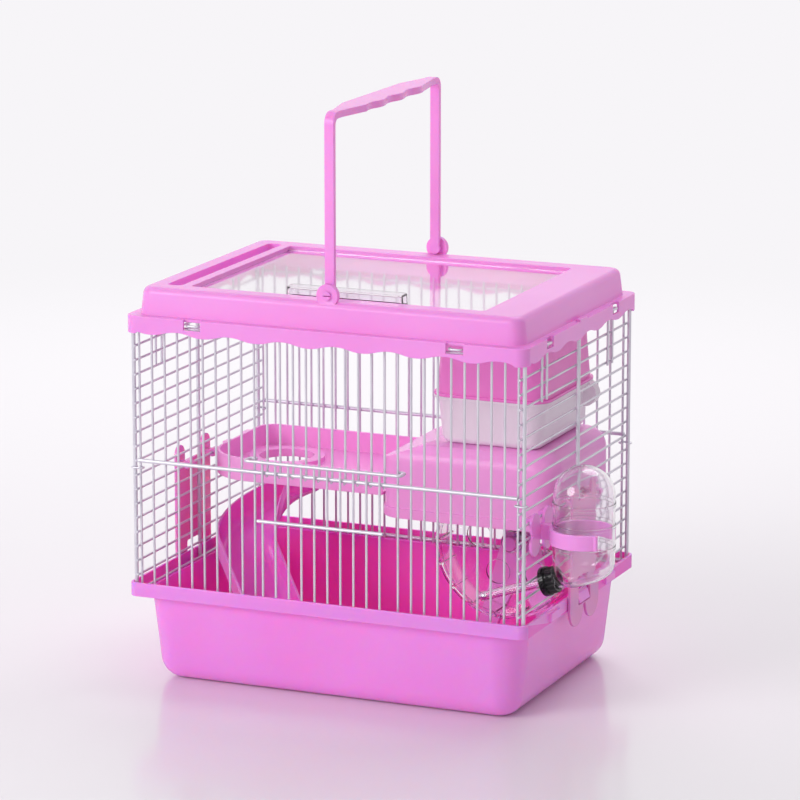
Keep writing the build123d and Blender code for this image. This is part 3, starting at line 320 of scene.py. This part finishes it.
def softened(node, suffix, material, edge, inner=None, sides=len(LEVEL_RAYS)):
    shape = merged_node(node)
    sharp = [e for e in shape.edges if e.is_manifold and e.calc_face_angle() > SHARP]
    bmesh.ops.bevel(
        shape, geom=sharp, offset=edge * MM, offset_type="OFFSET", segments=EDGE_SEGMENTS,
        profile=0.5, affect="EDGES", clamp_overlap=False, material=-1,
    )
    # The faces inside take the second material, a deeper pink of painted shade.
    if inner:
        mark_painted_shade_faces(shape, sides)
    piece = finish_mesh(shape, f"{node}_{suffix}", material)
    if inner:
        piece.data.materials.append(inner)
    even = piece.modifiers.new("even_shading", "WEIGHTED_NORMAL")
    even.keep_sharp = True
    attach(piece, body_of_node[node])
    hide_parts(node)
    return piece


print("level rays:", len(LEVEL_RAYS), "edge segments:", EDGE_SEGMENTS)

# %% [markdown]
# Every moulded or turned piece has its finish and the radius of its edges in millimetres. Thin
# walls and fine ribs take only a small radius, or the bevels would run into each other.

# %% Mouldings
mouldings = {
    "base_tub": (tub_pink, 0.5),
    "top_cover": (pink, 0.3),
    "handle": (pink, 0.3),
    "slide": (pink, 0.15),
    "hood": (hood_pink, 0.4),
    "wheel_stand": (pink, 0.5),
    "axle_cap": (pink, 0.3),
    "bottle_clip": (pink, 0.2),
    "tray": (pale_pink, 0.4),
    "roof": (pale_pink, 0.2),
    "lid": (crystal, 0.25),
    "wheel": (crystal, 0.25),
    "bottle": (bottle_clear, 0.2),
    "bowl": (milky, 0.2),
    "left_latch": (tinted, 0.4),
    "right_latch": (tinted, 0.4),
    "bottle_cap": (black, 0.2),
    "cap_washer": (rubber, 0.2),
    "wheel_axle": (steel, 0.2),
    "nozzle_tube": (crystal, 0.15),
}
# Painted shade: the deeper pinks for the faces inside the tub and the chute.
inner_painted_shades = {
    "base_tub": {"inner": tub_painted_shade_pink, "sides": 4},
    "slide": {"inner": chute_painted_shade_pink, "sides": 3},
}
for node, (finish, edge) in mouldings.items():
    piece = softened(node, "moulded", finish, edge, **inner_painted_shades.get(node, {}))
    print(piece.name, "faces:", len(piece.data.polygons))

# %% [markdown]
# The valve ball is a true sphere, so it has no edge to soften. It is only merged and shaded
# smooth.

# %% Valve ball
ball = finish_mesh(merged_node("nozzle_ball"), "nozzle_ball_polished", chrome)
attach(ball, body_of_node["nozzle_ball"])
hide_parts("nozzle_ball")
print(ball.name, "faces:", len(ball.data.polygons))

# %% [markdown]
# The panels, the door, the hooks and the rings are lengths of wire. Each wire is its own island
# in the mesh, and its cut ends are dulled by the coating, so the ends get a small round.

# %% Wire work
WIRE_END_ROUND = 0.35
panels = ("front_panel", "back_panel", "left_panel", "right_panel")
for node in panels + ("corner_rings", "cover_hooks", "front_door"):
    piece = softened(node, "coated", wire_coat, WIRE_END_ROUND)
    print(piece.name, "faces:", len(piece.data.polygons))

# %% [markdown]
# Where wires cross they are spot welded, and the coating bridges the weld as a small bead. The
# beads could be placed from the panel's pitch, but reading where the wires really cross is safer:
# every pair of islands whose boxes nearly touch gets one bead at the middle of their overlap.

# %% Wire crossings
WELD_REACH = 0.3 * MM


def wire_boxes(node):
    shape = merged_node(node)
    seen = set()
    boxes = []
    for first in shape.verts:
        if first in seen:
            continue
        seen.add(first)
        island = [first]
        for vert in island:  # the list grows until the whole wire is in it
            for edge in vert.link_edges:
                neighbour = edge.other_vert(vert)
                if neighbour not in seen:
                    seen.add(neighbour)
                    island.append(neighbour)
        spans = list(zip(*(vert.co for vert in island)))
        boxes.append((Vector(map(min, spans)), Vector(map(max, spans))))
    shape.free()
    return boxes


def crossings(node):
    boxes = wire_boxes(node)
    found = []
    for i, (low_a, high_a) in enumerate(boxes):
        for low_b, high_b in boxes[i + 1:]:
            low = Vector(map(max, low_a, low_b))
            high = Vector(map(min, high_a, high_b))
            if all(top - bottom > -WELD_REACH for bottom, top in zip(low, high)):
                found.append((low + high) / 2)
    return found


print("crossings in the door:", len(crossings("front_door")))

# %% [markdown]
# A bead is a small faceted ball, about as thick as a wire, so it shows only as a thickening where
# the two wires meet.

# %% Weld beads
BEAD = 0.95 * MM


def weld_beads(node):
    shape = bmesh.new()
    spots = crossings(node)
    for spot in spots:
        place = Matrix.Translation(spot)
        bmesh.ops.create_icosphere(shape, subdivisions=1, radius=BEAD, matrix=place)
    piece = finish_mesh(shape, f"{node}_welds", wire_coat)
    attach(piece, body_of_node[node])
    return len(spots)


for node in panels + ("front_door",):
    print(node, "weld beads:", weld_beads(node))

# %% [markdown]
# The cage stands on a pale glossy floor that mirrors the tub a little and fades to white all
# round. Only rays from the camera, reflections and clear pieces see that white, so it lights
# nothing.

# %% Floor
FLOOR_RADIUS = 14.0
FLOOR_SIDES = 96
FADE_FROM, FADE_TO = 0.35, 1.6


def seen_directly(nodes, links):
    path = nodes.new("ShaderNodeLightPath")
    either = nodes.new("ShaderNodeMath")
    either.operation = "MAXIMUM"
    links.new(path.outputs["Is Camera Ray"], either.inputs[0])
    links.new(path.outputs["Is Glossy Ray"], either.inputs[1])
    any_of = nodes.new("ShaderNodeMath")
    any_of.operation = "MAXIMUM"
    links.new(either.outputs["Value"], any_of.inputs[0])
    links.new(path.outputs["Is Transmission Ray"], any_of.inputs[1])
    return any_of.outputs["Value"]


floor_paint = bpy.data.materials.new("pale_floor")
floor_paint.use_nodes = True
floor_nodes, floor_links = floor_paint.node_tree.nodes, floor_paint.node_tree.links
floor_shader = floor_nodes["Principled BSDF"]
set_sockets(floor_shader, {"Base Color": screen_colour(240, 236, 241), "Roughness": 0.16})
white = floor_nodes.new("ShaderNodeEmission")
set_sockets(white, {"Color": screen_colour(247, 245, 248)})
place = floor_nodes.new("ShaderNodeTexCoord")
distance = floor_nodes.new("ShaderNodeVectorMath")
distance.operation = "LENGTH"
floor_links.new(place.outputs["Object"], distance.inputs[0])
fade = floor_nodes.new("ShaderNodeMapRange")
fade.interpolation_type = "SMOOTHSTEP"
set_sockets(fade, {"From Min": FADE_FROM, "From Max": FADE_TO})
floor_links.new(distance.outputs["Value"], fade.inputs["Value"])
share = floor_nodes.new("ShaderNodeMath")
share.operation = "MULTIPLY"
floor_links.new(fade.outputs["Result"], share.inputs[0])
floor_links.new(seen_directly(floor_nodes, floor_links), share.inputs[1])
mix = floor_nodes.new("ShaderNodeMixShader")
floor_links.new(share.outputs["Value"], mix.inputs["Fac"])
floor_links.new(floor_shader.outputs["BSDF"], mix.inputs[1])
floor_links.new(white.outputs["Emission"], mix.inputs[2])
floor_links.new(mix.outputs["Shader"], floor_nodes["Material Output"].inputs["Surface"])

floor_shape = bmesh.new()
bmesh.ops.create_circle(floor_shape, cap_ends=True, segments=FLOOR_SIDES, radius=FLOOR_RADIUS)
floor = finish_mesh(floor_shape, "floor", floor_paint)
print("floor fades to white from", FADE_FROM, "to", FADE_TO, "metres")

# %% [markdown]
# The surround works the same way: a plain dim white lights the cage evenly from all sides, while
# the camera, reflections and clear pieces see a bright backdrop.

# %% Surround
SURROUND_LIGHT = 0.43
scene = bpy.context.scene
scene.world = bpy.data.worlds.new("studio")
scene.world.use_nodes = True
sky_nodes, sky_links = scene.world.node_tree.nodes, scene.world.node_tree.links
surround = sky_nodes["Background"]
set_sockets(surround, {"Color": (1.0, 1.0, 1.0, 1.0), "Strength": SURROUND_LIGHT})
backdrop = sky_nodes.new("ShaderNodeBackground")
set_sockets(backdrop, {"Color": screen_colour(250, 248, 250), "Strength": 1.0})
sky_mix = sky_nodes.new("ShaderNodeMixShader")
sky_links.new(seen_directly(sky_nodes, sky_links), sky_mix.inputs["Fac"])
sky_links.new(surround.outputs["Background"], sky_mix.inputs[1])
sky_links.new(backdrop.outputs["Background"], sky_mix.inputs[2])
sky_links.new(sky_mix.outputs["Shader"], sky_nodes["World Output"].inputs["Surface"])
print("studio surround:", SURROUND_LIGHT)

# %% [markdown]
# Soft boxes light the cage: a large key from the front left, a weak fill from the front, so that
# the right side stays a shade darker, one from behind and above that brightens the cover and the
# lid, and a low one behind, like a window, whose light soaks through the tub's back wall. That
# one would blaze in the flat cover and the lid, so reflections and clear pieces leave it out.

# %% Lights
MIDDLE_OF_CAGE = Vector((0.0, 0.0, 0.18))


def soft_box(name, place, size, power, mirrored=True):
    lamp = bpy.data.lights.new(name, "AREA")
    lamp.shape = "DISK"
    lamp.size = size
    lamp.energy = power
    holder = bpy.data.objects.new(name, lamp)
    holder.location = place
    aim = MIDDLE_OF_CAGE - Vector(place)
    holder.rotation_euler = aim.to_track_quat("-Z", "Y").to_euler()
    holder.visible_glossy = mirrored
    holder.visible_transmission = mirrored
    scene.collection.objects.link(holder)


soft_box("key", place=(-1.5, -2.3, 1.25), size=1.6, power=39.0)
soft_box("fill", place=(0.7, -2.7, 0.8), size=1.2, power=5.0)
soft_box("top", place=(0.3, 1.2, 2.2), size=1.6, power=18.0)
soft_box("window", place=(-1.0, 1.9, 0.9), size=1.4, power=20.0, mirrored=False)
scene.view_settings.view_transform = "Standard"

# %% [markdown]
# The camera stands far off with a long lens, as in a product picture, a little above the cage and
# to the right of its front.

# %% Camera
AZIMUTH, ELEVATION = radians(23.1), radians(12.69)
DISTANCE = 2.9489
TARGET = Vector((0.0126, -0.0016, 0.1966))
SENSOR = 36.0
FOCAL_PIXELS = 4178.0
PICTURE_PIXELS = 800.0
FAR_CLIP = 40.0
level = cos(ELEVATION)
back_vector = Vector((sin(AZIMUTH) * level, -cos(AZIMUTH) * level, sin(ELEVATION)))
lens = bpy.data.cameras.new("camera")
lens.sensor_width = SENSOR
lens.lens = FOCAL_PIXELS / PICTURE_PIXELS * SENSOR
lens.clip_end = FAR_CLIP
camera = bpy.data.objects.new("camera", lens)
camera.location = TARGET + back_vector * DISTANCE
camera.rotation_euler = back_vector.to_track_quat("Z", "Y").to_euler()
scene.collection.objects.link(camera)
scene.camera = camera
print("camera:", [round(v, 3) for v in camera.location], "lens:", round(lens.lens, 1))
